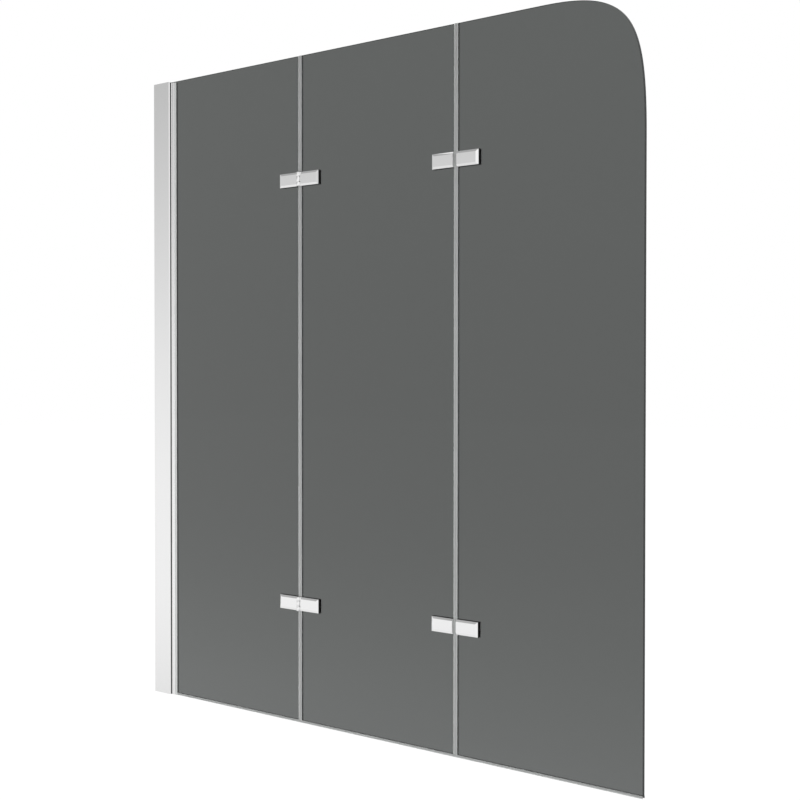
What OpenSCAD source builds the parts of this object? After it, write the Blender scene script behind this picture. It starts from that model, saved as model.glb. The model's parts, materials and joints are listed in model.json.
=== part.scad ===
// Folding bath screen: three tinted glass panels on four pivot hinges, carried by a telescoping wall profile.
// Millimetres. The origin is on the wall plane, in the middle of the glass thickness, at half the height,
// which is the middle of the line of wall screw holes. +X runs along the screen away from the wall,
// +Z is up, and -Y is the front, the side that faces the room. The bath is on the +Y side.

/* [Screen] */
// Width from the wall to the free edge
screen_w = 1300; // [1200:5:1400]
// Height from the underside of the bottom seals to the top of the glass
screen_h = 1400; // [1200:10:1500]
// Distance from the wall to the middle of the seam nearer the wall
inner_seam_x = 466.8; // [440:0.1:480]
// Distance from the wall to the middle of the seam nearer the free edge
outer_seam_x = 885.7; // [860:0.1:910]

/* [Glass] */
// Thickness of the glass
glass_t = 6; // [5:0.5:8]
// Gap between the glass edges at a seam
seam_gap = 5.6; // [5:0.1:7]
// Length of the round top corner along the top edge
corner_top = 215; // [120:5:240]
// Length of the round top corner down the free edge
corner_side = 255; // [120:5:300]
// How far the corner curve is drawn towards the square corner, along the top edge
corner_pull_top = 0.85; // [0.5:0.01:0.95]
// How far the corner curve is drawn towards the square corner, down the free edge
corner_pull_side = 0.82; // [0.5:0.01:0.95]
// Radius of the hole that a hinge screw and its sleeve pass through
glass_hole_r = 6; // [5:0.5:7]

/* [Wall profile] */
// Depth of the wall profile, from the wall to its mouth
wall_profile_w = 53; // [52:1:58]
// Thickness of the wall profile from front to back
wall_profile_t = 22; // [21:0.5:28]
// Thickness of the flange that lies against the wall
wall_flange_t = 2.5; // [2:0.1:4]
// Thickness of the wall profile's front and rear walls
wall_profile_wall = 1.8; // [1.5:0.1:2.2]
// Thickness of the lips at the mouth and of the guide ribs inside
guide_t = 2; // [1.5:0.1:2.5]
// Distance from the wall to the guide ribs inside
guide_rib_x = 39; // [38:0.5:42]
// Radius of the mouth's outer edges
wall_profile_edge_r = 1.8; // [0.5:0.1:2]
// Depth of the black wiper strips that are let into the mouth's lips, beside the glass profile
mouth_strip_depth = 1; // [0.6:0.1:1.4]
// Width of these strips from front to back
mouth_strip_w = 1.4; // [1:0.1:1.6]
// Radius of a wall screw hole
wall_hole_r = 3; // [2:0.1:3.5]
// Distance between neighbouring wall screw holes
wall_hole_pitch = 350; // [250:10:370]
// Number of wall screw holes
wall_hole_count = 4; // [2:1:4]

/* [Glass profile] */
// Length of the glass profile's section, from its web to its mouth
glass_profile_w = 45; // [44:0.5:48]
// How far the glass profile stands out of the wall profile as fitted
glass_profile_show = 12; // [11:0.5:16]
// How far the glass profile stops short of the wall profile's top
glass_profile_drop = 2.5; // [1.5:0.1:5]
// Thickness of the glass profile's web and walls
glass_profile_wall = 1.5; // [1.2:0.1:1.8]
// Radius of the mouth's outer edges
glass_profile_edge_r = 1.2; // [0.5:0.1:1.4]
// How far the glass reaches into the glass profile
glass_bite = 19; // [16:0.5:19.5]
// How far the screen can be set in or out from where it is fitted
adjust_travel = 8; // [4:0.5:8]
// Clearance between the two profiles where they slide
slide_gap = 0.3; // [0.2:0.05:0.5]

/* [Gaskets and setting blocks] */
// Thickness of a glazing gasket between the glass and the profile's wall
gasket_t = 2; // [1.5:0.1:2.5]
// How far a gasket reaches into the profile from its mouth
gasket_bite = 12; // [8:0.5:14]
// How far a gasket's lip lies on the glass outside the profile
gasket_lip = 4.6; // [2:0.1:6]
// Thickness of the lip at its thin edge
gasket_lip_t = 0.7; // [0.4:0.1:1.2]
// Length of a setting block
block_len = 80; // [40:5:120]
// Height of the outer setting blocks above and below the middle
block_z = 560; // [500:10:570]

/* [Adjusting screws] */
// Distance from the wall to the adjusting screws
adjust_screw_x = 33.75; // [33.5:0.05:34]
// Distance between neighbouring adjusting screws
adjust_screw_pitch = 450; // [400:10:450]
// Number of adjusting screws
adjust_screw_count = 3; // [2:1:3]
// Radius of an adjusting screw's shank
adjust_screw_r = 2.5; // [2:0.1:2.6]
// Radius of an adjusting screw's pan head
adjust_head_r = 4.5; // [4:0.1:5]
// Height of an adjusting screw's pan head
adjust_head_h = 2; // [1.5:0.1:2.5]
// Length of a clamp nut across the profile
nut_w = 8; // [7:0.1:8]
// Thickness of a clamp nut
nut_t = 3.2; // [2.5:0.1:3.5]
// Height of a clamp nut
nut_h = 16; // [12:1:24]
// Wall of a screw cover
cover_wall = 1.2; // [0.8:0.1:1.6]

/* [End caps] */
// Thickness of an end cap's plate
cap_t = 1.2; // [1:0.1:2]
// Length of the legs that hold an end cap in the wall profile
cap_leg_h = 12; // [8:1:20]
// Thickness of an end cap's legs
cap_leg_t = 1.6; // [1:0.1:1.8]

/* [Seals] */
// Thickness of a seal's legs on the glass
seal_t = 0.9; // [0.6:0.05:0.95]
// How far a seam seal's legs reach onto the glass
seam_leg = 2; // [1.6:0.1:4]
// Clearance between the two seals that meet at a seam
seam_meet_gap = 0.3; // [0.2:0.05:0.6]
// Width of the soft edge along each seam seal
seam_edge = 0.6; // [0.3:0.1:1]
// Height of a bottom seal, from the tips of its fins to the top of its legs
bottom_seal_h = 5; // [4:0.1:10]
// Height of the glass's lower edge above the tips of the fins
glass_lift = 2.5; // [2:0.1:4]
// Thickness of a bottom seal's web under the glass
bottom_seal_web = 1; // [0.6:0.1:1.2]
// Thickness of a drip fin at its tip
fin_t = 0.8; // [0.5:0.1:1]
// Thickness of a drip fin at the web
fin_root_t = 1.2; // [1:0.1:2]

/* [Hinges] */
// Height of the lower hinges' middle above the tips of the bottom seals
hinge_lower_rise = 251; // [150:1:350]
// Depth of the upper hinges' middle below the top of the glass
hinge_upper_drop = 258; // [150:1:350]
// Distance from a seam's middle to a plate's outer end
plate_reach = 56.5; // [55:0.1:70]
// Height of a hinge plate
plate_h = 29; // [28:0.5:40]
// Thickness of a plate at its outer edges
plate_edge_t = 2.8; // [2.4:0.1:4]
// How much a plate thickens across its bevel
bevel_rise = 2; // [1:0.1:2.5]
// Width of the bevel along the long edges
bevel_w = 4.1; // [3:0.1:6]
// Width of the bevel at the outer end
bevel_end_w = 5.6; // [3:0.1:7]
// Thickness of the pads between plate and glass
pad_t = 1; // [1:0.1:2]
// How far the pads stand out round the plates
pad_edge = 0.5; // [0.2:0.1:1]
// Thickness of the rim that a front pad turns up round its plate's edges
pad_rim_t = 0.8; // [0.5:0.1:1.2]
// Height of the bright edge left between that rim and the bevel
rim_drop = 0.4; // [0.2:0.1:1]
// Distance between two plates that carry no knuckle
plain_plate_gap = 8.8; // [8:0.1:12]
// Radius of the hinge barrel
barrel_r = 3.75; // [3.4:0.05:4.5]
// Height of the middle knuckle with its share of both joints
knuckle_mid_h = 12; // [8:0.5:16]
// Gap between neighbouring knuckles, which holds a bush's flange
knuckle_gap = 0.5; // [0.4:0.05:1]
// Clearance between a plate and the other plate's knuckles
knuckle_side_gap = 0.3; // [0.2:0.05:0.6]
// Side of the relief notch beside each joint in the barrel
notch = 1.7; // [0.8:0.1:2]
// Space between two folded plates' faces
fold_gap = 1; // [0.6:0.1:3]

/* [Pins, bushes and hinge screws] */
// Radius of a hinge pin
pin_r = 1.6; // [1.2:0.1:1.8]
// Wall of a bush
bush_wall = 0.85; // [0.5:0.05:1]
// How far a bush's flange stands out from the bush
bush_flange = 0.8; // [0.4:0.1:0.9]
// Radial clearance of a pin in its bushes
running_gap = 0.05; // [0.03:0.01:0.08]
// Radial clearance of a bush, pin or thread that is fixed in its hole
fixed_gap = 0.02; // [0.01:0.01:0.03]
// Radius of a hinge screw
screw_r = 2.5; // [2:0.1:2.6]
// Radius of a hinge screw's countersunk head
screw_head_r = 4.7; // [4.2:0.1:5]
// Radial clearance round a hinge screw in its sleeve and rear plate
screw_clearance = 0.25; // [0.15:0.05:0.4]
// Metal left over a blind screw hole
plate_skin = 1.6; // [1.2:0.1:2]
// Distance from a seam's middle to the nearer screw
screw_near_x = 19.5; // [17:0.5:22]
// Distance from a seam's middle to the farther screw
screw_far_x = 42; // [38:0.5:44]
// Radius of the hexagon socket in a screw head
socket_r = 1.7; // [1.2:0.1:2]
// Depth of the hexagon socket in a screw head
socket_depth = 1.5; // [1:0.1:1.8]

/* [Hidden] */
cut = 1; // how far a cutting body runs past what it cuts
$fn = 48;
corner_steps = 36; // straight lengths in the round corner's curve
edge_steps = 6; // straight lengths in a profile's rounded edge
end_chamfer = 0.3; // chamfer at a pin's ends

aluminium = "#c6c8c9";
chrome = "#dadcdd";
tinted_glass = "#626463";
seal_grey = "#a2a4a3";
gasket_grey = "#b9bbba";
pad_grey = "#3a3b3c";
steel = "#b4b6b8";
bush_white = "#e6e6e2";
block_black = "#2a2b2c";
strip_black = "#242526";

bottom_z = -screen_h / 2;
top_z = screen_h / 2;

// Wall profile and glass profile, measured from the wall and from the middle of the glass
wall_half_t = wall_profile_t / 2;
wall_inner_y = wall_half_t - wall_profile_wall;
glass_profile_half_t = glass_t / 2 + gasket_t + glass_profile_wall;
glass_profile_inner_y = glass_t / 2 + gasket_t;
glass_profile_mouth_x = wall_profile_w + glass_profile_show;
glass_profile_back_x = glass_profile_mouth_x - glass_profile_w;
glass_profile_top_z = top_z - glass_profile_drop;
guide_y = glass_profile_half_t + slide_gap;
mouth_strip_x = wall_profile_w - mouth_strip_depth;
glass_start_x = glass_profile_mouth_x - glass_bite;
gasket_lip_x = glass_profile_mouth_x + gasket_lip;
adjust_slot_reach = adjust_travel + fixed_gap;
wall_hole_zs = [for (i = [0 : wall_hole_count - 1]) (i - (wall_hole_count - 1) / 2) * wall_hole_pitch];
adjust_zs = [for (i = [0 : adjust_screw_count - 1]) (i - (adjust_screw_count - 1) / 2) * adjust_screw_pitch];
block_zs = [-block_z, block_z];
cover_r = adjust_head_r + slide_gap + cover_wall;

// Glass panels
glass_bottom_z = bottom_z + glass_lift;
seal_top_z = bottom_z + bottom_seal_h;
seal_half_t = glass_t / 2 + seal_t;
meet_x = seam_meet_gap / 2;
inner_glass_x = [inner_seam_x - seam_gap / 2, inner_seam_x + seam_gap / 2];
outer_glass_x = [outer_seam_x - seam_gap / 2, outer_seam_x + seam_gap / 2];

// Hinge sections, drawn for the plate on the +X side of a seam with its face towards +Y
pad_face_y = glass_t / 2 + pad_t;
bevel_foot_y = pad_face_y + plate_edge_t;
rim_top_y = bevel_foot_y - rim_drop;
plate_face_y = bevel_foot_y + bevel_rise;
axis_y = plate_face_y + fold_gap / 2;
knuckled_plate_x = barrel_r + knuckle_side_gap;
plain_plate_x = plain_plate_gap / 2;
web_y = axis_y - barrel_r * cos(30);
knuckle_split = knuckle_mid_h / 2;
middle_knuckle_z = knuckle_split - knuckle_gap / 2;
outer_knuckle_z = knuckle_split + knuckle_gap / 2;
bush_r = pin_r + running_gap + bush_wall;
flange_t = knuckle_gap - running_gap;
pad_start_x = seam_gap / 2 + seam_leg + slide_gap;
screw_xs = [screw_near_x, screw_far_x];
screw_hole_r = screw_r + screw_clearance;
head_recess = 0.1; // a screw head lies this far below the plate's face
head_gap = 0.05; // clearance between a screw head and its countersink
sleeve_gap = 0.1; // clearance between a sleeve and the glass, and half of that between two sleeves
blind_hole_y = plate_face_y - plate_skin;
hinge_lower_z = bottom_z + hinge_lower_rise;
hinge_upper_z = top_z - hinge_upper_drop;

// Each hinge: name, seam, height, and the side of the glass that its barrel is on
FRONT = -1;
REAR = 1;
HINGES = [
    ["inner_upper", inner_seam_x, hinge_upper_z, FRONT],
    ["inner_lower", inner_seam_x, hinge_lower_z, FRONT],
    ["outer_upper", outer_seam_x, hinge_upper_z, REAR],
    ["outer_lower", outer_seam_x, hinge_lower_z, REAR]
];
HINGE_PIECES = [
    "front_plate_left", "front_plate_right", "rear_plate_left", "rear_plate_right",
    "pads_left", "pads_right", "screws_left", "screws_right", "pin", "bushes"
];

// Places what is drawn along +Z along +Y instead, starting at the given depth
module along_y(start_y) {
    translate([0, start_y, 0]) rotate([-90, 0, 0]) children();
}

// Extrudes a section drawn in X and Y between two heights
module upright(low_z, high_z) {
    translate([0, 0, low_z]) linear_extrude(high_z - low_z) children();
}

// Extrudes a section drawn in Y and Z between two places along the screen
module lengthwise(start_x, end_x) {
    translate([start_x, 0, 0]) rotate([90, 0, 90]) linear_extrude(end_x - start_x) children();
}

// A block between two opposite corners
module block(low, high) {
    translate(low) cube(high - low);
}

// Points of an arc
function arc(centre, r, from, to, steps) = [
    for (i = [0 : steps]) centre + r * [cos(from + (to - from) * i / steps), sin(from + (to - from) * i / steps)]
];

// A channel's outside, open side towards +X, with both edges of its mouth rounded
function channel_outline(back_x, mouth_x, half_t, r) = concat(
    [[back_x, -half_t]],
    arc([mouth_x - r, r - half_t], r, -90, 0, edge_steps),
    arc([mouth_x - r, half_t - r], r, 0, 90, edge_steps),
    [[back_x, half_t]]
);

// Extruded channel that is screwed to the wall, with lips and ribs that guide the glass profile
module wall_profile() {
    color(aluminium)
    difference() {
        upright(bottom_z, top_z)
        difference() {
            polygon(channel_outline(0, wall_profile_w, wall_half_t, wall_profile_edge_r));
            translate([wall_flange_t, -wall_inner_y])
            square([guide_rib_x - wall_flange_t, 2 * wall_inner_y]);
            translate([guide_rib_x + guide_t, -wall_inner_y])
            square([wall_profile_w - guide_rib_x - 2 * guide_t, 2 * wall_inner_y]);
            translate([guide_rib_x - cut, -guide_y])
            square([wall_profile_w - guide_rib_x + 2 * cut, 2 * guide_y]);
            for (side = [FRONT, REAR]) mirror([0, side < 0 ? 1 : 0])
            translate([mouth_strip_x, guide_y - cut])
            square([mouth_strip_depth + cut, mouth_strip_w + cut]);
        }
        for (z = wall_hole_zs)
        translate([-cut, 0, z]) rotate([0, 90, 0]) cylinder(h = wall_flange_t + 2 * cut, r = wall_hole_r);
        for (z = adjust_zs)
        translate([adjust_screw_x, 0, z]) along_y(wall_inner_y - cut)
        cylinder(h = wall_profile_wall + 2 * cut, r = adjust_screw_r + screw_clearance);
    }
}

// Black wiper strips let into the lips at the wall profile's mouth, just clear of the glass profile
module mouth_strips() {
    color(strip_black)
    for (side = [FRONT, REAR])
    mirror([0, side < 0 ? 1 : 0, 0])
    block(
        [mouth_strip_x, guide_y, bottom_z],
        [wall_profile_w, guide_y + mouth_strip_w, top_z]
    );
}

// Plate across the wall profile's end with two legs along its walls, drawn for the top end
module end_cap(reach_x) {
    block([wall_flange_t, -wall_inner_y, top_z - cap_t], [reach_x, wall_inner_y, top_z]);
    for (side = [FRONT, REAR])
    translate([wall_flange_t, side * (wall_inner_y - cap_leg_t / 2), top_z - cap_t])
    mirror([0, 0, 1])
    translate([0, -cap_leg_t / 2, 0])
    cube([reach_x - wall_flange_t, cap_leg_t, cap_leg_h]);
}

// The top cap covers both profiles up to the glass. The bottom one lies behind the glass profile.
module wall_profile_end_caps() {
    color(aluminium) {
        end_cap(glass_start_x - adjust_travel - slide_gap);
        mirror([0, 0, 1]) end_cap(glass_profile_back_x - adjust_travel - slide_gap);
    }
}

// Pan head screws, driven from the rear, that clamp the glass profile at its setting
module adjusting_screws() {
    nut_front_y = glass_profile_inner_y - sleeve_gap - nut_t;
    color(steel)
    for (z = adjust_zs)
    translate([adjust_screw_x, 0, z])
    difference() {
        union() {
            along_y(nut_front_y) cylinder(h = wall_half_t - nut_front_y, r = adjust_screw_r);
            along_y(wall_half_t) cylinder(h = adjust_head_h, r = adjust_head_r);
        }
        along_y(wall_half_t + adjust_head_h - socket_depth)
        cylinder(h = socket_depth + cut, r = socket_r, $fn = 6);
    }
}

// Nuts inside the glass profile, which the adjusting screws draw against its rear wall
module clamp_nuts() {
    nut_rear_y = glass_profile_inner_y - sleeve_gap;
    color(steel)
    for (z = adjust_zs)
    translate([adjust_screw_x, 0, z])
    difference() {
        block([-nut_w / 2, nut_rear_y - nut_t, -nut_h / 2], [nut_w / 2, nut_rear_y, nut_h / 2]);
        along_y(nut_rear_y - nut_t - cut) cylinder(h = nut_t + 2 * cut, r = adjust_screw_r + fixed_gap);
    }
}

// Round covers over the adjusting screws' heads
module adjusting_screw_covers() {
    color(chrome)
    for (z = adjust_zs)
    translate([adjust_screw_x, 0, z])
    along_y(wall_half_t)
    difference() {
        cylinder(h = adjust_head_h + slide_gap + cover_wall, r = cover_r);
        translate([0, 0, -cut]) cylinder(h = adjust_head_h + slide_gap + cut, r = cover_r - cover_wall);
    }
}

// Extruded channel that holds the first panel's edge and slides in the wall profile
module glass_profile() {
    slot_r = adjust_screw_r + slide_gap;
    color(aluminium)
    difference() {
        upright(bottom_z, glass_profile_top_z)
        difference() {
            polygon(channel_outline(
                glass_profile_back_x, glass_profile_mouth_x, glass_profile_half_t, glass_profile_edge_r
            ));
            translate([glass_profile_back_x + glass_profile_wall, -glass_profile_inner_y])
            square([glass_profile_w, 2 * glass_profile_inner_y]);
        }
        for (z = adjust_zs) translate([adjust_screw_x, glass_profile_inner_y - cut, z]) {
            translate([-adjust_slot_reach, 0, -slot_r])
            cube([2 * adjust_slot_reach, glass_profile_wall + 2 * cut, 2 * slot_r]);
            for (x = [-adjust_slot_reach, adjust_slot_reach])
            translate([x, 0, 0]) along_y(0) cylinder(h = glass_profile_wall + 2 * cut, r = slot_r);
        }
    }
}

// Section of the rear gasket: a strip in the profile and a lip that thins out over the glass
module gasket_section() {
    face_y = glass_t / 2;
    polygon([
        [glass_profile_mouth_x - gasket_bite, face_y],
        [gasket_lip_x, face_y],
        [gasket_lip_x, face_y + gasket_lip_t],
        [glass_profile_mouth_x, face_y + gasket_t],
        [glass_profile_mouth_x - gasket_bite, face_y + gasket_t]
    ]);
}

module glazing_gasket_rear() {
    color(gasket_grey) upright(bottom_z, glass_profile_top_z) gasket_section();
}

module glazing_gasket_front() {
    color(gasket_grey) mirror([0, 1, 0]) upright(bottom_z, glass_profile_top_z) gasket_section();
}

// Blocks in the glass profile that the glass edge stands against
module setting_blocks() {
    color(block_black)
    for (z = block_zs)
    block(
        [glass_profile_back_x + glass_profile_wall, -glass_profile_inner_y, z - block_len / 2],
        [glass_start_x, glass_profile_inner_y, z + block_len / 2]
    );
}

// A flat sheet with the given outline in X and Z, and the holes for the hinge screws on each listed seam side
module glass_sheet(outline, seam_sides) {
    color(tinted_glass)
    difference() {
        rotate([90, 0, 0]) linear_extrude(glass_t, center = true) polygon(outline);
        for (seam_side = seam_sides)
        for (z = [hinge_lower_z, hinge_upper_z])
        for (x = screw_xs)
        translate([seam_side[0] + seam_side[1] * x, 0, z])
        along_y(-glass_t / 2 - cut) cylinder(h = glass_t + 2 * cut, r = glass_hole_r);
    }
}

function rectangle(start_x, end_x) = [
    [start_x, glass_bottom_z], [end_x, glass_bottom_z], [end_x, top_z], [start_x, top_z]
];

// A point of a cubic Bezier curve
function bezier(p, t) =
    pow(1 - t, 3) * p[0] + 3 * t * pow(1 - t, 2) * p[1] + 3 * pow(t, 2) * (1 - t) * p[2] + pow(t, 3) * p[3];

// The free top corner: from the free edge up and round to the top edge
corner_curve = [
    [screen_w, top_z - corner_side],
    [screen_w, top_z - corner_side * (1 - corner_pull_side)],
    [screen_w - corner_top * (1 - corner_pull_top), top_z],
    [screen_w - corner_top, top_z]
];

module glass_panel_1() {
    glass_sheet(rectangle(glass_start_x, inner_glass_x[0]), [[inner_seam_x, -1]]);
}

module glass_panel_2() {
    glass_sheet(rectangle(inner_glass_x[1], outer_glass_x[0]), [[inner_seam_x, 1], [outer_seam_x, -1]]);
}

module glass_panel_3() {
    outline = concat(
        [[outer_glass_x[1], glass_bottom_z], [screen_w, glass_bottom_z]],
        [for (i = [0 : corner_steps]) bezier(corner_curve, i / corner_steps)],
        [[outer_glass_x[1], top_z]]
    );
    glass_sheet(outline, [[outer_seam_x, 1]]);
}

// Clip-on strip along the glass's lower edge, with two drip fins that thicken towards the web
module bottom_seal(start_x, end_x) {
    web_z = glass_bottom_z - bottom_seal_web;
    rear_half = [
        [glass_t / 2, glass_bottom_z],
        [glass_t / 2, seal_top_z],
        [seal_half_t, seal_top_z],
        [seal_half_t, bottom_z],
        [seal_half_t - fin_t, bottom_z],
        [seal_half_t - fin_root_t, web_z]
    ];
    front_half = [for (i = [len(rear_half) - 1 : -1 : 0]) [-rear_half[i][0], rear_half[i][1]]];
    color(seal_grey) lengthwise(start_x, end_x) polygon(concat(rear_half, front_half));
}

module bottom_seal_1() {
    bottom_seal(gasket_lip_x + slide_gap, inner_seam_x - meet_x);
}

module bottom_seal_2() {
    bottom_seal(inner_seam_x + meet_x, outer_seam_x - meet_x);
}

module bottom_seal_3() {
    bottom_seal(outer_seam_x + meet_x, screen_w);
}

// Clip-on strip along a seam's edge of the glass, drawn for the panel on the +X side
module seam_seal_right_side() {
    glass_x = seam_gap / 2;
    color(seal_grey)
    upright(seal_top_z, top_z)
    difference() {
        polygon([
            [meet_x, seam_edge - seal_half_t],
            [meet_x + seam_edge, -seal_half_t],
            [glass_x + seam_leg, -seal_half_t],
            [glass_x + seam_leg, seal_half_t],
            [meet_x + seam_edge, seal_half_t],
            [meet_x, seal_half_t - seam_edge]
        ]);
        translate([glass_x, -glass_t / 2]) square([seam_leg + cut, glass_t]);
    }
}

module seam_seal(seam_x, side) {
    translate([seam_x, 0, 0]) mirror([side < 0 ? 1 : 0, 0, 0]) seam_seal_right_side();
}

// A plate with its two long edges and its outer end bevelled
module plate_block(inner_x) {
    half_h = plate_h / 2;
    intersection() {
        lengthwise(inner_x, plate_reach)
        polygon([
            [pad_face_y, -half_h],
            [bevel_foot_y, -half_h],
            [plate_face_y, bevel_w - half_h],
            [plate_face_y, half_h - bevel_w],
            [bevel_foot_y, half_h],
            [pad_face_y, half_h]
        ]);
        upright(-half_h, half_h)
        polygon([
            [inner_x, pad_face_y],
            [plate_reach, pad_face_y],
            [plate_reach, bevel_foot_y],
            [plate_reach - bevel_end_w, plate_face_y],
            [inner_x, plate_face_y]
        ]);
    }
}

// One knuckle and the web that joins it to its plate
module knuckle(low_z, high_z) {
    translate([0, axis_y, low_z]) cylinder(h = high_z - low_z, r = barrel_r);
    block([0, web_y, low_z], [knuckled_plate_x + cut, plate_face_y, high_z]);
}

// A plate that carries the middle knuckle, or the two outer ones
module knuckled_plate(middle) {
    bore_r = (middle ? bush_r : pin_r) + fixed_gap;
    difference() {
        union() {
            difference() {
                plate_block(knuckled_plate_x);
                for (z = [-knuckle_split, knuckle_split])
                block(
                    [knuckled_plate_x - cut, pad_face_y - cut, z - notch / 2],
                    [knuckled_plate_x + notch, plate_face_y + cut, z + notch / 2]
                );
            }
            if (middle) {
                knuckle(-middle_knuckle_z, middle_knuckle_z);
            } else {
                knuckle(outer_knuckle_z, plate_h / 2);
                knuckle(-plate_h / 2, -outer_knuckle_z);
            }
        }
        translate([0, axis_y, -plate_h / 2 - cut]) cylinder(h = plate_h + 2 * cut, r = bore_r);
    }
}

module plate(knuckled, middle) {
    if (knuckled) {
        knuckled_plate(middle);
    } else {
        plate_block(plain_plate_x);
    }
}

// The rim of a front pad: round its plate's long edges and outer end, and grown outwards to cut the plate back
module pad_rim(grow) {
    half_h = plate_h / 2;
    difference() {
        block([pad_start_x, pad_face_y - grow, -half_h - grow], [plate_reach + grow, rim_top_y, half_h + grow]);
        block(
            [pad_start_x - cut, pad_face_y - grow - cut, pad_rim_t - half_h],
            [plate_reach - pad_rim_t, rim_top_y + cut, half_h - pad_rim_t]
        );
    }
}

// Plate on the front of the glass, cut back for its pad's rim, with blind holes that the screws thread into
module front_plate(hinge, middle) {
    color(chrome)
    mirror([0, 1, 0])
    difference() {
        plate(hinge[3] == FRONT, middle);
        pad_rim(cut);
        for (x = screw_xs)
        translate([x, 0, 0]) along_y(pad_face_y - cut)
        cylinder(h = blind_hole_y - pad_face_y + cut, r = screw_r + fixed_gap);
    }
}

// Plate on the rear of the glass, with countersunk holes for the screws
module rear_plate(hinge, middle) {
    sink_r = screw_head_r + head_gap + head_recess;
    sink_depth = sink_r - screw_hole_r;
    color(chrome)
    difference() {
        plate(hinge[3] == REAR, middle);
        for (x = screw_xs) translate([x, 0, 0]) {
            along_y(pad_face_y - cut) cylinder(h = plate_face_y - pad_face_y + 2 * cut, r = screw_hole_r);
            along_y(plate_face_y - sink_depth)
            cylinder(h = sink_depth + cut, r1 = screw_hole_r, r2 = sink_r + cut);
        }
    }
}

// Soft pads between the plates and the glass, each with the half sleeves that line the glass's holes
module pads() {
    color(pad_grey)
    for (side = [FRONT, REAR])
    mirror([0, side < 0 ? 1 : 0, 0])
    difference() {
        union() {
            block(
                [pad_start_x, glass_t / 2, -plate_h / 2 - pad_edge],
                [plate_reach + pad_edge, pad_face_y, plate_h / 2 + pad_edge]
            );
            if (side == FRONT) pad_rim(0);
            for (x = screw_xs)
            translate([x, 0, 0]) along_y(sleeve_gap / 2)
            cylinder(h = pad_face_y - sleeve_gap, r = glass_hole_r - sleeve_gap);
        }
        for (x = screw_xs)
        translate([x, 0, 0]) along_y(-cut) cylinder(h = pad_face_y + 2 * cut, r = screw_hole_r);
    }
}

// Countersunk screws from the rear plate into the front plate
module screws() {
    tip_y = end_chamfer - blind_hole_y;
    head_y = plate_face_y - head_recess;
    head_h = screw_head_r - screw_r;
    color(steel)
    for (x = screw_xs)
    translate([x, 0, 0])
    difference() {
        union() {
            along_y(tip_y) cylinder(h = head_y - tip_y, r = screw_r);
            along_y(head_y - head_h) cylinder(h = head_h, r1 = screw_r, r2 = screw_head_r);
        }
        along_y(head_y - socket_depth) cylinder(h = socket_depth + cut, r = socket_r, $fn = 6);
    }
}

// Pin through all three knuckles, held by the outer ones
module hinge_pin() {
    half_h = plate_h / 2;
    color(steel)
    rotate_extrude()
    polygon([
        [0, -half_h],
        [pin_r - end_chamfer, -half_h],
        [pin_r, end_chamfer - half_h],
        [pin_r, half_h - end_chamfer],
        [pin_r - end_chamfer, half_h],
        [0, half_h]
    ]);
}

// Two flanged bushes in the middle knuckle, their flanges in the joints of the barrel
module hinge_bushes() {
    color(bush_white)
    for (side = [-1, 1])
    mirror([0, 0, side < 0 ? 1 : 0])
    difference() {
        union() {
            translate([0, 0, fold_gap / 2]) cylinder(h = middle_knuckle_z - fold_gap / 2, r = bush_r);
            translate([0, 0, middle_knuckle_z]) cylinder(h = flange_t, r = bush_r + bush_flange);
        }
        cylinder(h = plate_h, r = pin_r + running_gap);
    }
}

// Puts what is drawn for the +X side of a hinge on its left or right side
module at_side(left) {
    mirror([left ? 1 : 0, 0, 0]) children();
}

wall_profile();
mouth_strips();
wall_profile_end_caps();
adjusting_screws();
clamp_nuts();
adjusting_screw_covers();
glass_profile();
glazing_gasket_front();
glazing_gasket_rear();
setting_blocks();
glass_panel_1();
glass_panel_2();
glass_panel_3();
bottom_seal_1();
bottom_seal_2();
bottom_seal_3();
seam_seal(inner_seam_x, -1);  // seam_seal_1_left
seam_seal(inner_seam_x, 1);  // seam_seal_1_right
seam_seal(outer_seam_x, -1);  // seam_seal_2_left
seam_seal(outer_seam_x, 1);  // seam_seal_2_right
for (hinge = HINGES) translate([hinge[1], 0, hinge[2]]) {
    at_side(true) front_plate(hinge, true);
    at_side(false) front_plate(hinge, false);
    at_side(true) rear_plate(hinge, true);
    at_side(false) rear_plate(hinge, false);
    at_side(true) pads();
    at_side(false) pads();
    at_side(true) screws();
    at_side(false) screws();
    translate([0, hinge[3] * axis_y, 0]) hinge_pin();
    translate([0, hinge[3] * axis_y, 0]) hinge_bushes();
}
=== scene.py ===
"""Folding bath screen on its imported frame: looks, soft strips, panes, studio and camera. Metres, +Z up."""

import json
import math

import bmesh
import bpy
import numpy as np
from mathutils import Matrix, Vector, geometry


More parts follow.
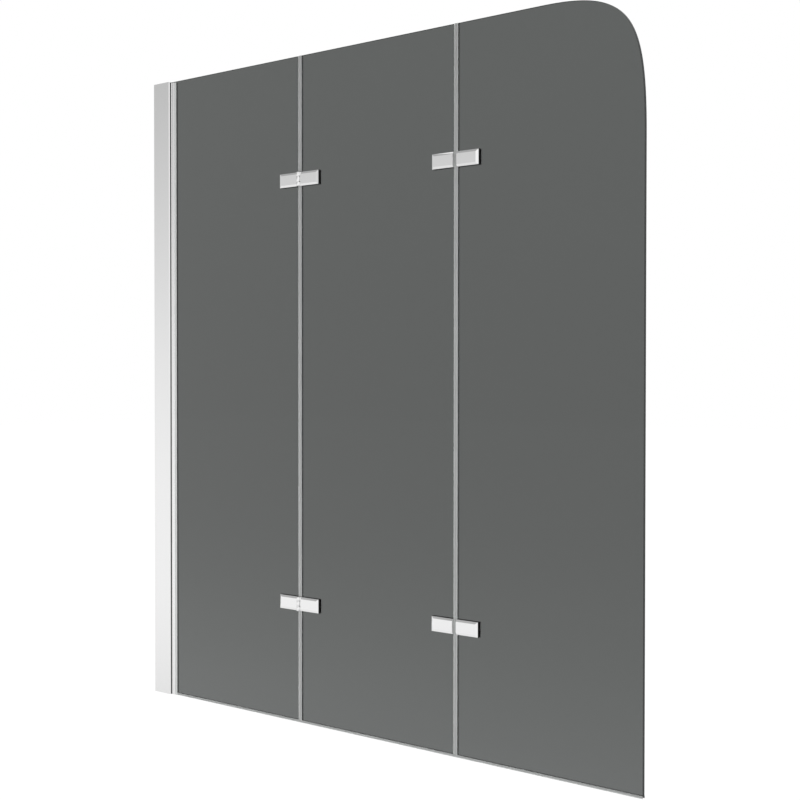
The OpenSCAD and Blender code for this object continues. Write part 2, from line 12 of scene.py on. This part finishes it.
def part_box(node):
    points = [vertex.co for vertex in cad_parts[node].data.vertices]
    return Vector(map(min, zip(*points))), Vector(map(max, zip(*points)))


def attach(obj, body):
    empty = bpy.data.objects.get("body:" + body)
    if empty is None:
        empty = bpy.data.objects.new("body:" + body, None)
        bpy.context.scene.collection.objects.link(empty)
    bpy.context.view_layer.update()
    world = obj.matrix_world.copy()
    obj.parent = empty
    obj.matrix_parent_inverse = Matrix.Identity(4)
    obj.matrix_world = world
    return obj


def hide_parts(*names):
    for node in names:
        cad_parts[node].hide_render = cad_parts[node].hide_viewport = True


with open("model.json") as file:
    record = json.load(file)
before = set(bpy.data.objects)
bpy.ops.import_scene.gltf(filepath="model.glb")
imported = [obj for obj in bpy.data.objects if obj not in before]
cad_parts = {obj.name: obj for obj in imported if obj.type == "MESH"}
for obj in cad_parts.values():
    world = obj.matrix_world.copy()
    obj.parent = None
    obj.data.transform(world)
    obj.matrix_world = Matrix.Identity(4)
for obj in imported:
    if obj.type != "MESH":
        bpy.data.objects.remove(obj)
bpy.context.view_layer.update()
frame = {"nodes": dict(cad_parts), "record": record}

# ---------------------------------------------------------------- wall profile, glass profile and end caps
# Two aluminium extrusions that slide into each other, and the plates across the outer one's ends. They are
# polished and bright anodised, and the outer one is screwed to the wall.
MM = 0.001
SAME_POINT = 1e-6
FLAT_DEGREES = 0.5
TRUE_EDGE_DEGREES = 15


def lin(code):
    """Colour as Blender wants it: each sRGB step c becomes c / 12.92, or ((c + 0.055) / 1.055) to the 2.4."""
    steps = [int(code[i:i + 2], 16) / 255 for i in (1, 3, 5)]
    return tuple(c / 12.92 if c <= 0.04045 else ((c + 0.055) / 1.055) ** 2.4 for c in steps) + (1.0,)


def lengths(mm_x, mm_y, mm_z):
    """Mapping scale at which a noise's features are so many millimetres long along each axis of the frame."""
    return (1000 / mm_x, 1000 / mm_y, 1000 / mm_z)


def new_material(name):
    """An empty node material and its tree."""
    made = bpy.data.materials.new(name)
    made.use_nodes = True
    made.node_tree.nodes.clear()
    return made, made.node_tree


def add(tree, kind, inputs=None, **settings):
    """Adds a shader node with its settings. An input is linked where it is a socket, and set where it is a value."""
    made = tree.nodes.new("ShaderNode" + kind)
    for name, value in settings.items():
        setattr(made, name, value)
    for name, value in (inputs or {}).items():
        if isinstance(value, bpy.types.NodeSocket):
            tree.links.new(value, made.inputs[name])
        else:
            made.inputs[name].default_value = value
    return made


def dress(slot, material, edge_mm):
    """Gives every CAD node of one slot its material, and a round of the given width on its sharp edges.

    The mesh keeps its shape. Its doubles are welded and its flat faces joined, so that only true edges are
    broken, as polishing and moulding do.
    """
    for part in frame["record"]["subparts"]:
        if part["material_slot"] != slot:
            continue
        kept = frame["nodes"][part["node"]]
        for material_slot in kept.material_slots:
            material_slot.material = material
        weld = kept.modifiers.new("weld", "WELD")
        weld.merge_threshold = SAME_POINT
        whole = kept.modifiers.new("whole_faces", "DECIMATE")
        whole.decimate_type = "DISSOLVE"
        whole.angle_limit = math.radians(FLAT_DEGREES)
        edge = kept.modifiers.new("broken_edges", "BEVEL")
        edge.width = edge_mm * MM
        edge.segments = 2
        edge.limit_method = "ANGLE"
        edge.angle_limit = math.radians(TRUE_EDGE_DEGREES)
        edge.harden_normals = True


# Bright anodised aluminium: satin, because the film is a little dull, with the die's fine lines along it.
aluminium, tree = new_material("bright_anodised_aluminium")
where = add(tree, "TexCoord").outputs["Object"]
drawn_out = add(tree, "Mapping", {"Vector": where, "Scale": lengths(0.5, 0.5, 400)}).outputs["Vector"]
lines = add(tree, "TexNoise", {"Vector": drawn_out, "Scale": 1.0, "Detail": 3.0}).outputs["Fac"]
shader = add(tree, "BsdfPrincipled", {
    "Base Color": lin("#f2f2f2"),
    "Metallic": 1.0,
    "Roughness": add(tree, "MapRange", {"Value": lines, "To Min": 0.12, "To Max": 0.2}).outputs["Result"],
    "Normal": add(tree, "Bump", {"Height": lines, "Strength": 1.0, "Distance": 0.002 * MM}).outputs["Normal"],
})
add(tree, "OutputMaterial", {"Surface": shader.outputs["BSDF"]})
dress("anodised_aluminium", aluminium, 0.25)

# ---------------------------------------------------------------- black rubber pieces
# The wiper strips in the wall profile's mouth, the blocks that the first pane stands against and the pads
# that the hinge plates press on the glass: moulded or extruded rubber, matt and close to black.
rubber, tree = new_material("black_pad_rubber")
where = add(tree, "TexCoord").outputs["Object"]
fine = add(tree, "Mapping", {"Vector": where, "Scale": lengths(0.5, 0.5, 0.5)}).outputs["Vector"]
powder = add(tree, "TexNoise", {"Vector": fine, "Scale": 1.0, "Detail": 4.0}).outputs["Fac"]
mottle = add(tree, "MixRGB", {"Fac": powder, "Color1": lin("#141415"), "Color2": lin("#1c1c1d")})
shader = add(tree, "BsdfPrincipled", {
    "Base Color": mottle.outputs["Color"],
    "Roughness": add(tree, "MapRange", {"Value": powder, "To Min": 0.55, "To Max": 0.75}).outputs["Result"],
    "Normal": add(tree, "Bump", {"Height": powder, "Strength": 1.0, "Distance": 0.02 * MM}).outputs["Normal"],
})
add(tree, "OutputMaterial", {"Surface": shader.outputs["BSDF"]})
dress("pad_rubber", rubber, 0.1)
dress("setting_block_rubber", rubber, 0.6)

# ---------------------------------------------------------------- glazing gaskets
# Extruded strips of pale soft rubber, pressed in between the glass profile and the pane. Each has a strip in
# the profile and a lip that thins out over the glass.
gasket, tree = new_material("pale_grey_gasket_rubber")
where = add(tree, "TexCoord").outputs["Object"]
fine = add(tree, "Mapping", {"Vector": where, "Scale": lengths(0.6, 0.6, 4)}).outputs["Vector"]
powder = add(tree, "TexNoise", {"Vector": fine, "Scale": 1.0, "Detail": 4.0}).outputs["Fac"]
mottle = add(tree, "MixRGB", {"Fac": powder, "Color1": lin("#abadac"), "Color2": lin("#b7b9b8")})
shader = add(tree, "BsdfPrincipled", {
    "Base Color": mottle.outputs["Color"],
    "Roughness": add(tree, "MapRange", {"Value": powder, "To Min": 0.5, "To Max": 0.65}).outputs["Result"],
    "Normal": add(tree, "Bump", {"Height": powder, "Strength": 1.0, "Distance": 0.01 * MM}).outputs["Normal"],
})
add(tree, "OutputMaterial", {"Surface": shader.outputs["BSDF"]})


def box_mm(node):
    """Low and high corner of a CAD node's box, in millimetres."""
    return np.array(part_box(node)) / MM


def rounded(corners, steps=5):
    """Outline with round corners, from rows of x, y and how far from the corner the round starts.

    Each corner c becomes the parabola (1 - t)^2 p + 2 t (1 - t) c + t^2 q, with p and q on its two sides.
    """
    corners = np.array(corners)[:, None, :]
    at, reach = corners[..., :2], corners[..., 2:]
    back, on = np.roll(at, 1, axis=0) - at, np.roll(at, -1, axis=0) - at
    start = at + reach * back / np.linalg.norm(back, axis=2, keepdims=True)
    end = at + reach * on / np.linalg.norm(on, axis=2, keepdims=True)
    t = np.linspace(0, 1, steps)[:, None]
    return ((1 - t) ** 2 * start + 2 * t * (1 - t) * at + t ** 2 * end).reshape(-1, 2)


def closed_piece(name, points, faces, sharp_degrees, looks):
    """A closed mesh whose faces all look outward, smooth except at edges sharper than the given angle."""
    mesh = bpy.data.meshes.new(name)
    mesh.from_pydata(points.tolist(), [], faces)
    work = bmesh.new()
    work.from_mesh(mesh)
    bmesh.ops.recalc_face_normals(work, faces=work.faces)
    work.to_mesh(mesh)
    work.free()
    mesh.shade_smooth()
    mesh.set_sharp_from_angle(angle=math.radians(sharp_degrees))
    for look in looks:
        mesh.materials.append(look)
    piece = bpy.data.objects.new(name, mesh)
    bpy.context.scene.collection.objects.link(piece)
    return piece


STRIP_SHARP_DEGREES = 50


def strip(node, body, look, section, ends, upright):
    """Carries a section along a straight path: each of its points stands at both ends, and faces join them.

    An upright strip runs up Z with its section in X and Y. Any other runs along X with its section in Y and Z.
    """
    count = len(section)
    run, flat = (2, [0, 1]) if upright else (0, [1, 2])
    grid = np.empty((2, count, 3))
    grid[:, :, flat] = section
    grid[:, :, run] = np.array(ends)[:, None]
    i = np.arange(count)
    j = np.roll(i, -1)
    faces = [i.tolist(), (count + i).tolist()] + np.column_stack((i, j, count + j, count + i)).tolist()
    piece = closed_piece(node + "_strip", grid.reshape(-1, 3) * MM, faces, STRIP_SHARP_DEGREES, [look])
    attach(piece, body)
    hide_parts(node)


GLASS_HALF = 3.0
GASKET_T = 2
LIP_CREST_T = 1.95
LIP_EDGE_T = 0.7
LIP_CREST_X = 0.2
mouth_x = box_mm("glass_profile")[1][0]
for node, side in (("glazing_gasket_front", -1), ("glazing_gasket_rear", 1)):
    low, high = box_mm(node)
    lip = rounded([
        (low[0], GLASS_HALF, 0.2), (high[0], GLASS_HALF, 0.15), (high[0], GLASS_HALF + LIP_EDGE_T, 0.3),
        (mouth_x + LIP_CREST_X, GLASS_HALF + LIP_CREST_T, 0.8), (low[0], GLASS_HALF + GASKET_T, 0.3),
    ])
    strip(node, "panel_1", gasket, lip * (1, side), (low[2], high[2]), True)

# ---------------------------------------------------------------- panes
# Three sheets of 6 mm safety glass, tinted grey in the mass and toughened. Their edges are ground with a fine
# arris all round. The first is clamped in the glass profile, and the hinge screws pass through the holes.
glass, tree = new_material("grey_tinted_safety_glass")
# About a tenth of the light behind it comes through, so it reads as dark, with the pale surroundings as a thin
# gloss on top. The tint is a trace green. Its ramp is painted light: paler towards the lower edge and the top,
# standing in for the brighter light that falls on the panes there.
GREEN_CAST = 1.06
BLUE_CAST = 1.03
where = add(tree, "TexCoord").outputs["Object"]
height = add(tree, "SeparateXYZ", {"Vector": where}).outputs["Z"]
along = add(tree, "MapRange", {"Value": height, "From Min": -0.7, "From Max": 0.7}).outputs["Result"]
tint_and_painted_light = add(tree, "ValToRGB", {"Fac": along})
ramp = tint_and_painted_light.color_ramp
ramp.interpolation = "B_SPLINE"
ramp.elements[0].color = (0.126, 0.132, 0.130, 1)
ramp.elements[1].color = (0.103, 0.109, 0.106, 1)
for place, level in ((0.1, 0.105), (0.2, 0.090), (0.32, 0.080), (0.5, 0.081), (0.7, 0.087)):
    ramp.elements.new(place).color = (level, level * GREEN_CAST, level * BLUE_CAST, 1)
broad = add(tree, "Mapping", {"Vector": where, "Scale": lengths(60, 60, 60)}).outputs["Vector"]
patches = add(tree, "TexNoise", {"Vector": broad, "Scale": 1.0}).outputs["Fac"]
shader = add(tree, "BsdfPrincipled", {
    "Base Color": tint_and_painted_light.outputs["Color"],
    "Transmission Weight": 1.0,
    "Roughness": add(tree, "MapRange", {"Value": patches, "To Min": 0.0, "To Max": 0.012}).outputs["Result"],
    "IOR": 1.5,
})
add(tree, "OutputMaterial", {"Surface": shader.outputs["BSDF"]})

# The ground edge is rougher, with the wheel's strokes across it, and darker, because the eye looks along the
# sheet through more tint.
cut_edge, tree = new_material("ground_glass_edge")
where = add(tree, "TexCoord").outputs["Object"]
crossing = add(tree, "Mapping", {"Vector": where, "Scale": lengths(2, 0.3, 2)}).outputs["Vector"]
strokes = add(tree, "TexNoise", {"Vector": crossing, "Scale": 1.0, "Detail": 3.0}).outputs["Fac"]
shader = add(tree, "BsdfPrincipled", {
    "Base Color": lin("#1e2020"),
    "Roughness": add(tree, "MapRange", {"Value": strokes, "To Min": 0.15, "To Max": 0.3}).outputs["Result"],
    "Specular IOR Level": 0.3,
    "Normal": add(tree, "Bump", {"Height": strokes, "Strength": 1.0, "Distance": 0.004 * MM}).outputs["Normal"],
})
add(tree, "OutputMaterial", {"Surface": shader.outputs["BSDF"]})

PANE_HALF = 2.98
ARRIS = 0.4
HOLE_R = 6.0
HOLE_STEPS = 48
CORNER_TOP = 215.0
CORNER_SIDE = 255.0
PULL_TOP = 0.85
PULL_SIDE = 0.82
CORNER_STEPS = 96
PANE_SHARP_DEGREES = 30


def inset(loop, by):
    """Moves a closed line inwards: each corner goes along the middle of its sides' normals until it is that far."""
    sides = np.roll(loop, -1, axis=0) - loop
    normals = np.column_stack((-sides[:, 1], sides[:, 0]))
    normals /= np.linalg.norm(normals, axis=1, keepdims=True)
    middle = normals + np.roll(normals, 1, axis=0)
    middle /= np.linalg.norm(middle, axis=1, keepdims=True)
    return loop + by * middle / np.sum(middle * normals, axis=1, keepdims=True)


def hole(x, z):
    """Circle x + r cos a, z + r sin a, with a running down so that the glass lies on its left, as on the outline's."""
    turn = -2 * np.pi * np.arange(HOLE_STEPS) / HOLE_STEPS
    return np.column_stack((x + HOLE_R * np.cos(turn), z + HOLE_R * np.sin(turn)))


def round_corner(x, z):
    """Cubic Bezier curve from the free edge to the top edge, its handles drawn towards the square corner x, z."""
    p = np.array([
        (x, z - CORNER_SIDE), (x, z - CORNER_SIDE * (1 - PULL_SIDE)),
        (x - CORNER_TOP * (1 - PULL_TOP), z), (x - CORNER_TOP, z),
    ])
    t = np.linspace(0, 1, CORNER_STEPS)[:, None]
    return (1 - t) ** 3 * p[0] + 3 * t * (1 - t) ** 2 * p[1] + 3 * t ** 2 * (1 - t) * p[2] + t ** 3 * p[3]


def pane(number, loops):
    """A sheet between its lines. A line gives four rings, at the four depths of the arrises, drawn in on the faces.

    Faces join each ring to the next, and a flat cap with the holes left open closes each side.
    """
    depths = np.array([-PANE_HALF, ARRIS - PANE_HALF, PANE_HALF - ARRIS, PANE_HALF])
    points, faces, rings, first = [], [], [], 0
    for loop in loops:
        count = len(loop)
        shrunk = inset(loop, ARRIS)
        grid = np.empty((4, count, 3))
        grid[..., [0, 2]] = np.stack((shrunk, loop, loop, shrunk))
        grid[..., 1] = depths[:, None]
        ring = first + np.arange(4 * count).reshape(4, count)
        here, near = ring[:-1], np.roll(ring[:-1], -1, axis=1)
        faces += np.stack((here, near, near + count, here + count), axis=-1).reshape(-1, 4).tolist()
        points.append(grid.reshape(-1, 3))
        rings.append(ring)
        first += 4 * count
    points = np.concatenate(points)
    edge_faces = len(faces)
    for level in (0, 3):
        numbers = np.concatenate([ring[level] for ring in rings])
        flat = [points[ring[level]][:, [0, 2]].tolist() for ring in rings]
        faces += numbers[np.array(geometry.tessellate_polygon(flat))].tolist()
    node = "glass_panel_%d" % number
    piece = closed_piece(node + "_pane", points * MM, faces, PANE_SHARP_DEGREES, [glass, cut_edge])
    piece.data.polygons.foreach_set("material_index", np.arange(len(faces)) < edge_faces)
    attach(piece, "panel_%d" % number)
    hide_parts(node)


screw_holes = {1: [], 2: [], 3: []}
for seam, left_pane in (("inner", 1), ("outer", 2)):
    for level in ("upper", "lower"):
        for step, side in enumerate(("left", "right")):
            low, high = box_mm("%s_%s_screws_%s" % (seam, level, side))
            screw_r = (high[2] - low[2]) / 2
            for x in (low[0] + screw_r, high[0] - screw_r):
                screw_holes[left_pane + step].append(hole(x, low[2] + screw_r))
for number in (1, 2, 3):
    (x0, _, z0), (x1, _, z1) = box_mm("glass_panel_%d" % number)
    corner = round_corner(x1, z1) if number == 3 else [(x1, z1)]
    pane(number, [np.vstack(([(x0, z0), (x1, z0)], corner, [(x0, z1)]))] + screw_holes[number])

# ---------------------------------------------------------------- seam seals and bottom seals
# Extruded clips of milky plastic on the panes' edges: with a rounded nose where two panes meet, and with two
# straight drip fins at the bottom.
# It swallows light on the way through, so the thin legs let the white behind them shine into the dark glass
# and the thick noses look plain grey. The bottom seals are the same plastic painted a tone darker, as painted shade.
seals = []
# The bottom seals' pair of colours is the seam seals' pair a tone darker: painted shade.
for name, dark, pale in (
    ("milky_grey_seam_seal_plastic", "#eceeed", "#f8faf9"), ("milky_grey_bottom_seal_plastic_painted_shade", "#d5d7d6", "#e1e3e2"),
):
    made, tree = new_material(name)
    where = add(tree, "TexCoord").outputs["Object"]
    drawn_out = add(tree, "Mapping", {"Vector": where, "Scale": lengths(3, 3, 60)}).outputs["Vector"]
    flow = add(tree, "TexNoise", {"Vector": drawn_out, "Scale": 1.0, "Detail": 3.0}).outputs["Fac"]
    mottle = add(tree, "MixRGB", {"Fac": flow, "Color1": lin(dark), "Color2": lin(pale)})
    shader = add(tree, "BsdfPrincipled", {
        "Base Color": mottle.outputs["Color"],
        "Roughness": add(tree, "MapRange", {"Value": flow, "To Min": 0.3, "To Max": 0.42}).outputs["Result"],
        "Transmission Weight": 0.7,
        "IOR": 1.4,
        "Normal": add(tree, "Bump", {"Height": flow, "Strength": 1.0, "Distance": 0.01 * MM}).outputs["Normal"],
    })
    swallow = add(tree, "VolumeAbsorption", {"Color": (0, 0, 0, 1), "Density": 230.0})
    add(tree, "OutputMaterial", {"Surface": shader.outputs["BSDF"], "Volume": swallow.outputs["Volume"]})
    seals.append(made)
seam_seal, bottom_seal = seals

FIN_T = 0.8
FIN_ROOT_T = 1.2
FIN_H = 1.5
WEB_T = 1.0
for number in (1, 2, 3):
    node = "bottom_seal_%d" % number
    low, high = box_mm(node)
    half = [
        (GLASS_HALF, high[2], 0.25), (high[1], high[2], 0.35), (high[1], low[2], 0.2),
        (high[1] - FIN_T, low[2], 0.2), (high[1] - FIN_ROOT_T, low[2] + FIN_H, 0.3),
    ]
    bed_z = low[2] + FIN_H + WEB_T
    bed = [(-GLASS_HALF, bed_z, 0.1), (GLASS_HALF, bed_z, 0.1)]
    channel = rounded(half + [(-y, z, r) for y, z, r in half[::-1]] + bed)
    strip(node, "panel_%d" % number, bottom_seal, channel, (low[0], high[0]), False)

NOSE_TO_GLASS = 2.65
for node, body, side in (
    ("seam_seal_1_left", "panel_1", -1), ("seam_seal_1_right", "panel_2", 1),
    ("seam_seal_2_left", "panel_2", -1), ("seam_seal_2_right", "panel_3", 1),
):
    low, high = box_mm(node)
    nose, tail = (low[0], high[0]) if side > 0 else (high[0], low[0])
    half = [(tail, -GLASS_HALF, 0.2), (tail, low[1], 0.4), (nose, low[1], 0.9)]
    edge_x = nose + side * NOSE_TO_GLASS
    bed = [(edge_x, GLASS_HALF, 0.1), (edge_x, -GLASS_HALF, 0.1)]
    clip = rounded(half + [(x, -y, r) for x, y, r in half[::-1]] + bed)
    strip(node, body, seam_seal, clip, (low[2], high[2]), True)

# ---------------------------------------------------------------- hinge plates, barrels and screw covers
# Cast brass under polished chrome: an almost clean mirror. Broad faint patches in the roughness keep long
# reflections from looking computed. The front plates show no screws, because they are driven from the rear.
chrome, tree = new_material("polished_chrome")
where = add(tree, "TexCoord").outputs["Object"]
broad = add(tree, "Mapping", {"Vector": where, "Scale": lengths(18, 18, 18)}).outputs["Vector"]
patches = add(tree, "TexNoise", {"Vector": broad, "Scale": 1.0}).outputs["Fac"]
shader = add(tree, "BsdfPrincipled", {
    "Base Color": lin("#f1f1f1"),
    "Metallic": 1.0,
    "Roughness": add(tree, "MapRange", {"Value": patches, "To Min": 0.03, "To Max": 0.07}).outputs["Result"],
})
add(tree, "OutputMaterial", {"Surface": shader.outputs["BSDF"]})
dress("chrome", chrome, 0.25)

# ---------------------------------------------------------------- screws, clamp nuts and hinge pins
# Turned and cold-headed stainless steel with a soft sheen. The screws clamp the hinges from the rear and set
# the width, and the pins run through the barrels.
steel, tree = new_material("stainless_steel")
where = add(tree, "TexCoord").outputs["Object"]
fine = add(tree, "Mapping", {"Vector": where, "Scale": lengths(0.8, 0.8, 0.8)}).outputs["Vector"]
marks = add(tree, "TexNoise", {"Vector": fine, "Scale": 1.0, "Detail": 4.0}).outputs["Fac"]
shader = add(tree, "BsdfPrincipled", {
    "Base Color": lin("#cfd0d1"),
    "Metallic": 1.0,
    "Roughness": add(tree, "MapRange", {"Value": marks, "To Min": 0.2, "To Max": 0.36}).outputs["Result"],
    "Normal": add(tree, "Bump", {"Height": marks, "Strength": 1.0, "Distance": 0.004 * MM}).outputs["Normal"],
})
add(tree, "OutputMaterial", {"Surface": shader.outputs["BSDF"]})
dress("stainless_steel", steel, 0.12)

# ---------------------------------------------------------------- bushes
# Flanged bushes of white acetal, moulded and pressed into the middle knuckles, where the pins turn in them.
# They are smooth and slightly waxy, and show as pale lines in the joints of the barrel.
bearing, tree = new_material("white_bearing_plastic")
where = add(tree, "TexCoord").outputs["Object"]
soft = add(tree, "Mapping", {"Vector": where, "Scale": lengths(2, 2, 2)}).outputs["Vector"]
cloud = add(tree, "TexNoise", {"Vector": soft, "Scale": 1.0}).outputs["Fac"]
mottle = add(tree, "MixRGB", {"Fac": cloud, "Color1": lin("#dcdcda"), "Color2": lin("#e7e7e5")})
shader = add(tree, "BsdfPrincipled", {
    "Base Color": mottle.outputs["Color"],
    "Roughness": add(tree, "MapRange", {"Value": cloud, "To Min": 0.3, "To Max": 0.4}).outputs["Result"],
    "Subsurface Weight": 0.15,
    "Subsurface Radius": (1, 1, 1),
    "Subsurface Scale": MM,
})
add(tree, "OutputMaterial", {"Surface": shader.outputs["BSDF"]})
dress("bush_plastic", bearing, 0.1)

# ---------------------------------------------------------------- studio floor
# A pale floor well below the screen. It is white to the eye, where it keeps a soft shadow. Through the glass
# it is even. In the metal and the panes it has a painted soft shadow, a little greyer near the screen. Neither
# shows the lamps' pools of light.
FLOOR_Z = -1.26
FLOOR_REACH = 30
GLOW_TO_EYE = 0.8
LEVEL_TO_EYE = 1.14
LEVEL_THROUGH_GLASS = 1.02


def card(name, corners, paint):
    """A flat card through four corners, which isn't part of the object."""
    mesh = bpy.data.meshes.new(name)
    mesh.from_pydata(corners, [], [(0, 1, 2, 3)])
    mesh.materials.append(paint)
    made = bpy.data.objects.new(name, mesh)
    bpy.context.scene.collection.objects.link(made)
    return made


paint, tree = new_material("pale_studio_floor_with_painted_shadow")
path = add(tree, "LightPath").outputs
mirrored = add(tree, "Math", {0: path["Is Glossy Ray"], 1: path["Is Transmission Ray"]}, operation="MAXIMUM")
matt = add(tree, "BsdfDiffuse", {"Color": (0.86, 0.86, 0.86, 1)})
# Painted shadow: seen in the metal and the panes, the floor is painted greyer by its distance from the frame's origin
# at the screen.
far = add(tree, "VectorMath", {0: add(tree, "TexCoord").outputs["Object"]}, operation="LENGTH").outputs["Value"]
along = add(tree, "MapRange", {"Value": far, "From Min": 1.3, "From Max": 5.5}).outputs["Result"]
fade = add(tree, "ValToRGB", {"Fac": along})
ramp = fade.color_ramp
ramp.elements[0].color = (0.91, 0.91, 0.91, 1)
ramp.elements[1].color = (0.98, 0.98, 0.98, 1)
for place, level in ((0.24, 0.79), (0.42, 0.90), (0.6, 0.94), (0.8, 0.97)):
    ramp.elements.new(place).color = (level, level, level, 1)
through = add(tree, "MixRGB", {
    "Fac": path["Is Transmission Ray"], "Color1": fade.outputs["Color"], "Color2": (LEVEL_THROUGH_GLASS,) * 3 + (1,),
}).outputs["Color"]
level = add(tree, "MixRGB", {"Fac": path["Is Camera Ray"], "Color1": through, "Color2": (LEVEL_TO_EYE,) * 3 + (1,)})
glow = add(tree, "Emission", {"Color": level.outputs["Color"], "Strength": 1.0})
to_eye = add(tree, "Math", {0: path["Is Camera Ray"], 1: GLOW_TO_EYE}, operation="MULTIPLY").outputs[0]
share = add(tree, "Math", {0: to_eye, 1: mirrored.outputs[0]}, operation="MAXIMUM").outputs[0]
mixed = add(tree, "MixShader", {0: share, 1: matt.outputs[0], 2: glow.outputs[0]})
add(tree, "OutputMaterial", {"Surface": mixed.outputs[0]})
card("floor", [
    (-FLOOR_REACH, -FLOOR_REACH, FLOOR_Z), (FLOOR_REACH, -FLOOR_REACH, FLOOR_Z),
    (FLOOR_REACH, FLOOR_REACH, FLOOR_Z), (-FLOOR_REACH, FLOOR_REACH, FLOOR_Z),
], paint)

# ---------------------------------------------------------------- reflector cards
# Two grey cards that only the reflections see. The front one is paler towards the floor, which grades the
# panes, the profiles and the plates from top to bottom. The left one is even, for the plates' left bevels.
CARD_X = -14
CARD_Y = -4.2
CARD_TOP = 12
FRONT_CARD_END = 0.5
FADE_LOW = -1.2
FADE_HIGH = 4.8
LEFT_CARD_END = 3
LEFT_CARD_TOP = 8
paint, tree = new_material("front_card_paint")
height = add(tree, "SeparateXYZ", {"Vector": add(tree, "TexCoord").outputs["Object"]}).outputs["Z"]
along = add(tree, "MapRange", {"Value": height, "From Min": FADE_LOW, "From Max": FADE_HIGH}).outputs["Result"]
fade = add(tree, "ValToRGB", {"Fac": along})
ramp = fade.color_ramp
ramp.elements[0].color = (0.98, 0.98, 0.98, 1)
ramp.elements[1].color = (0.42, 0.42, 0.42, 1)
for z, level in (
    (-0.69, 0.97), (-0.21, 0.926), (0.276, 0.864), (0.76, 0.78), (1.245, 0.693), (2.0, 0.572), (3.0, 0.48),
):
    ramp.elements.new((z - FADE_LOW) / (FADE_HIGH - FADE_LOW)).color = (level, level, level, 1)
glow = add(tree, "Emission", {"Color": fade.outputs["Color"], "Strength": 1.0})
add(tree, "OutputMaterial", {"Surface": glow.outputs[0]})
front_card = card("front_card", [
    (CARD_X, CARD_Y, FLOOR_Z), (FRONT_CARD_END, CARD_Y, FLOOR_Z),
    (FRONT_CARD_END, CARD_Y, CARD_TOP), (CARD_X, CARD_Y, CARD_TOP),
], paint)

paint, tree = new_material("left_card_paint")
glow = add(tree, "Emission", {"Color": (0.7, 0.7, 0.7, 1), "Strength": 1.0})
add(tree, "OutputMaterial", {"Surface": glow.outputs[0]})
left_card = card("left_card", [
    (CARD_X, CARD_Y, FLOOR_Z), (CARD_X, LEFT_CARD_END, FLOOR_Z),
    (CARD_X, LEFT_CARD_END, LEFT_CARD_TOP), (CARD_X, CARD_Y, LEFT_CARD_TOP),
], paint)
for one in (front_card, left_card):
    one.visible_camera = False
    one.visible_diffuse = False
    one.visible_transmission = False
    one.visible_shadow = False

# ---------------------------------------------------------------- surroundings and lamps
# White all round to the eye, the glass and the metal, and a plainer level as light. Two square soft lamps
# light the object and are mirrored in nothing.
LIGHT_LEVEL = 0.62
world = bpy.data.worlds.new("white_surroundings")
bpy.context.scene.world = world
world.use_nodes = True
tree = world.node_tree
tree.nodes.clear()
path = add(tree, "LightPath").outputs
seen = add(tree, "Math", {0: path["Is Camera Ray"], 1: path["Is Transmission Ray"]}, operation="MAXIMUM").outputs[0]
seen = add(tree, "Math", {0: seen, 1: path["Is Glossy Ray"]}, operation="MAXIMUM").outputs[0]
strength = add(tree, "MapRange", {"Value": seen, "To Min": LIGHT_LEVEL, "To Max": 1.0}).outputs["Result"]
sky = add(tree, "Background", {"Color": (1, 1, 1, 1), "Strength": strength})
add(tree, "OutputWorld", {"Surface": sky.outputs[0]})

for name, place, aim, size, watts in (
    ("key_lamp", (0.8, -2.5, -0.7), (0.6, 0, -0.1), 1.4, 54),
    ("rear_lamp", (2.6, 3.4, 1.6), (0.65, 0, 0), 2.0, 60),
):
    data = bpy.data.lights.new(name, "AREA")
    data.size = size
    data.energy = watts
    lamp = bpy.data.objects.new(name, data)
    lamp.location = place
    lamp.rotation_euler = (Vector(aim) - Vector(place)).to_track_quat("-Z", "Y").to_euler()
    lamp.visible_glossy = False
    lamp.visible_camera = False
    lamp.visible_transmission = False
    bpy.context.scene.collection.objects.link(lamp)

# ---------------------------------------------------------------- camera
# Solved from the straight edges of the picture: place, direction, a slight roll and the focal length.
PICTURE_WIDTH_PX = 800
FOCAL_LENGTH_PX = 1427.333
SENSOR_WIDTH = 36
AZIMUTH = math.radians(41.00927)
PITCH = math.radians(0.93008)
ROLL = math.radians(0.03751)
forward = Vector((-math.sin(AZIMUTH) * math.cos(PITCH), math.cos(AZIMUTH) * math.cos(PITCH), -math.sin(PITCH)))
level_right = Vector((math.cos(AZIMUTH), math.sin(AZIMUTH), 0))
level_up = level_right.cross(forward)
right = math.cos(ROLL) * level_right + math.sin(ROLL) * level_up
up = math.cos(ROLL) * level_up - math.sin(ROLL) * level_right
lens = bpy.data.cameras.new("camera")
lens.sensor_width = SENSOR_WIDTH
lens.lens = SENSOR_WIDTH * FOCAL_LENGTH_PX / PICTURE_WIDTH_PX
lens.clip_end = 200
camera = bpy.data.objects.new("camera", lens)
place = Vector((2.591926, -2.127719, 0.028346))
camera.matrix_world = Matrix.Translation(place) @ Matrix((right, up, -forward)).transposed().to_4x4()
bpy.context.scene.collection.objects.link(camera)
bpy.context.scene.camera = camera
bpy.context.scene.view_settings.view_transform = "Standard"
